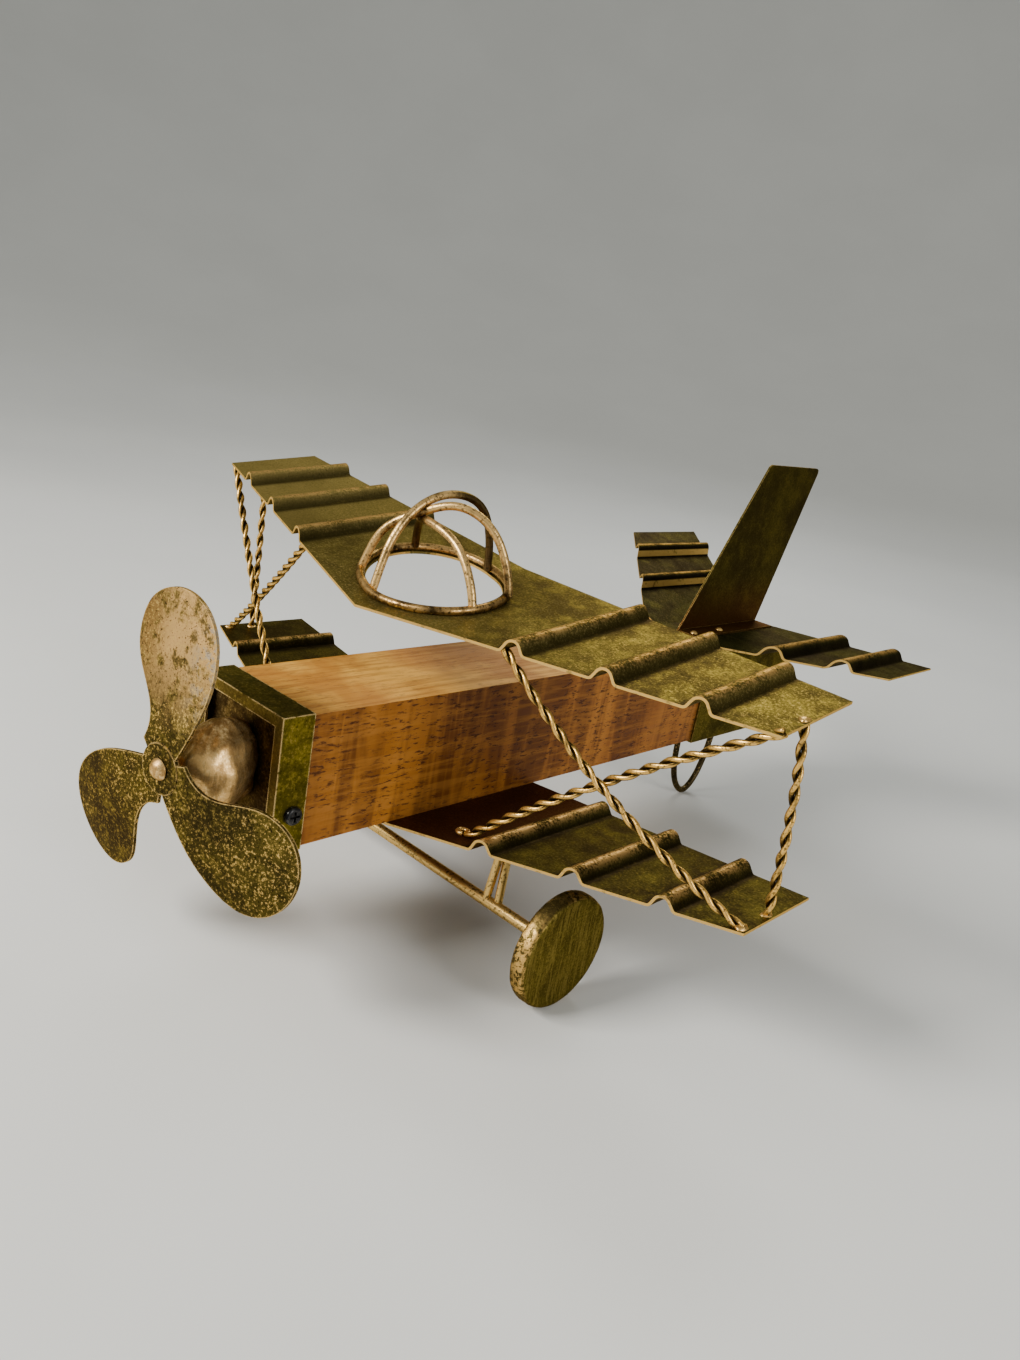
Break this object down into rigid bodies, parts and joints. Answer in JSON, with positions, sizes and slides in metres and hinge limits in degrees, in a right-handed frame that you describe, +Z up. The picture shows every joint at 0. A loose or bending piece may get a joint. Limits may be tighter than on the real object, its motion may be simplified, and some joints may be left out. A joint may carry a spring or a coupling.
{
  "type": "decorative biplane",
  "caption": "Decorative handmade biplane: square timber body, ribbed antique-gold sheet wings and tail, twisted-wire struts, wire cockpit cage, turning propeller and wheels.",
  "frame": {"origin": "on the ground plane under the middle of the whole object", "axes": "+X to port, +Y from nose to tail, +Z up"},
  "size_m": [0.3194, 0.4328, 0.1941],
  "materials": {
    "timber": "sawn and lightly oiled hardwood, golden brown with darker bands",
    "patina_sheet": "dark olive antique-gold sheet with speckle, brighter rib crests and pale cut edges",
    "propeller_gold": "speckled antique gold over dark metal",
    "pale_bronze": "brushed pale bronze with dark patches",
    "gold_wire": "pale gold wire, dark in the recesses",
    "cowl_green_gold": "green-gold sheet, dark corners and bright worn edges",
    "wheel_gold": "brushed dark olive gold with a bright pitted rim",
    "fin_brown": "dark brown olive patina",
    "dark_wire": "almost black wire",
    "black_screw": "black pan-head screw"
  },
  "bodies": {
    "airframe": {"axle": "gold_wire", "cage_base_ring": "gold_wire", "cage_hoop_cross": "gold_wire", "cage_hoop_diagonal": "gold_wire", "cage_hoop_long": "gold_wire", "cowl_screws": "black_screw", "fin_rivets": "gold_wire", "fuselage_block": "timber", "lower_wing": "patina_sheet", "lower_wing_screws": "black_screw", "nose_back_plate": "cowl_green_gold", "nose_cowl_frame": "cowl_green_gold", "nose_dome": "pale_bronze", "port_axle_washer": "gold_wire", "port_cross_diagonal": "gold_wire", "port_front_diagonal": "gold_wire", "port_front_leg": "gold_wire", "port_rear_leg": "gold_wire", "port_tip_strut": "gold_wire", "propeller_collar": "pale_bronze", "propeller_pin": "pale_bronze", "starboard_axle_washer": "gold_wire", "starboard_cross_diagonal": "gold_wire", "starboard_front_diagonal": "gold_wire", "starboard_front_leg": "gold_wire", "starboard_rear_leg": "gold_wire", "starboard_tip_strut": "gold_wire", "tail_box": "patina_sheet", "tail_box_screws": "black_screw", "tail_fin": "fin_brown", "tail_skid": "dark_wire", "tailplane": "patina_sheet", "upper_wing": "patina_sheet"},
    "propeller_rotor": {"propeller": "propeller_gold"},
    "port_wheel": {"port_wheel_shell": "wheel_gold", "port_wheel_back_disc": "wheel_gold", "port_wheel_bush": "wheel_gold"},
    "starboard_wheel": {"starboard_wheel_shell": "wheel_gold", "starboard_wheel_back_disc": "wheel_gold", "starboard_wheel_bush": "wheel_gold"}
  },
  "joints": [
    {"name": "propeller_spin", "type": "hinge", "parent": "airframe", "child": "propeller_rotor", "pos_m": [0, -0.21216, 0.0785], "axis": [0.1513, -0.9885, 0], "continuous": true},
    {"name": "port_wheel_spin", "type": "hinge", "parent": "airframe", "child": "port_wheel", "pos_m": [0.0935, -0.09906, 0.023], "axis": [1, 0, 0], "continuous": true},
    {"name": "starboard_wheel_spin", "type": "hinge", "parent": "airframe", "child": "starboard_wheel", "pos_m": [-0.0935, -0.09906, 0.023], "axis": [1, 0, 0], "continuous": true}
  ]
}
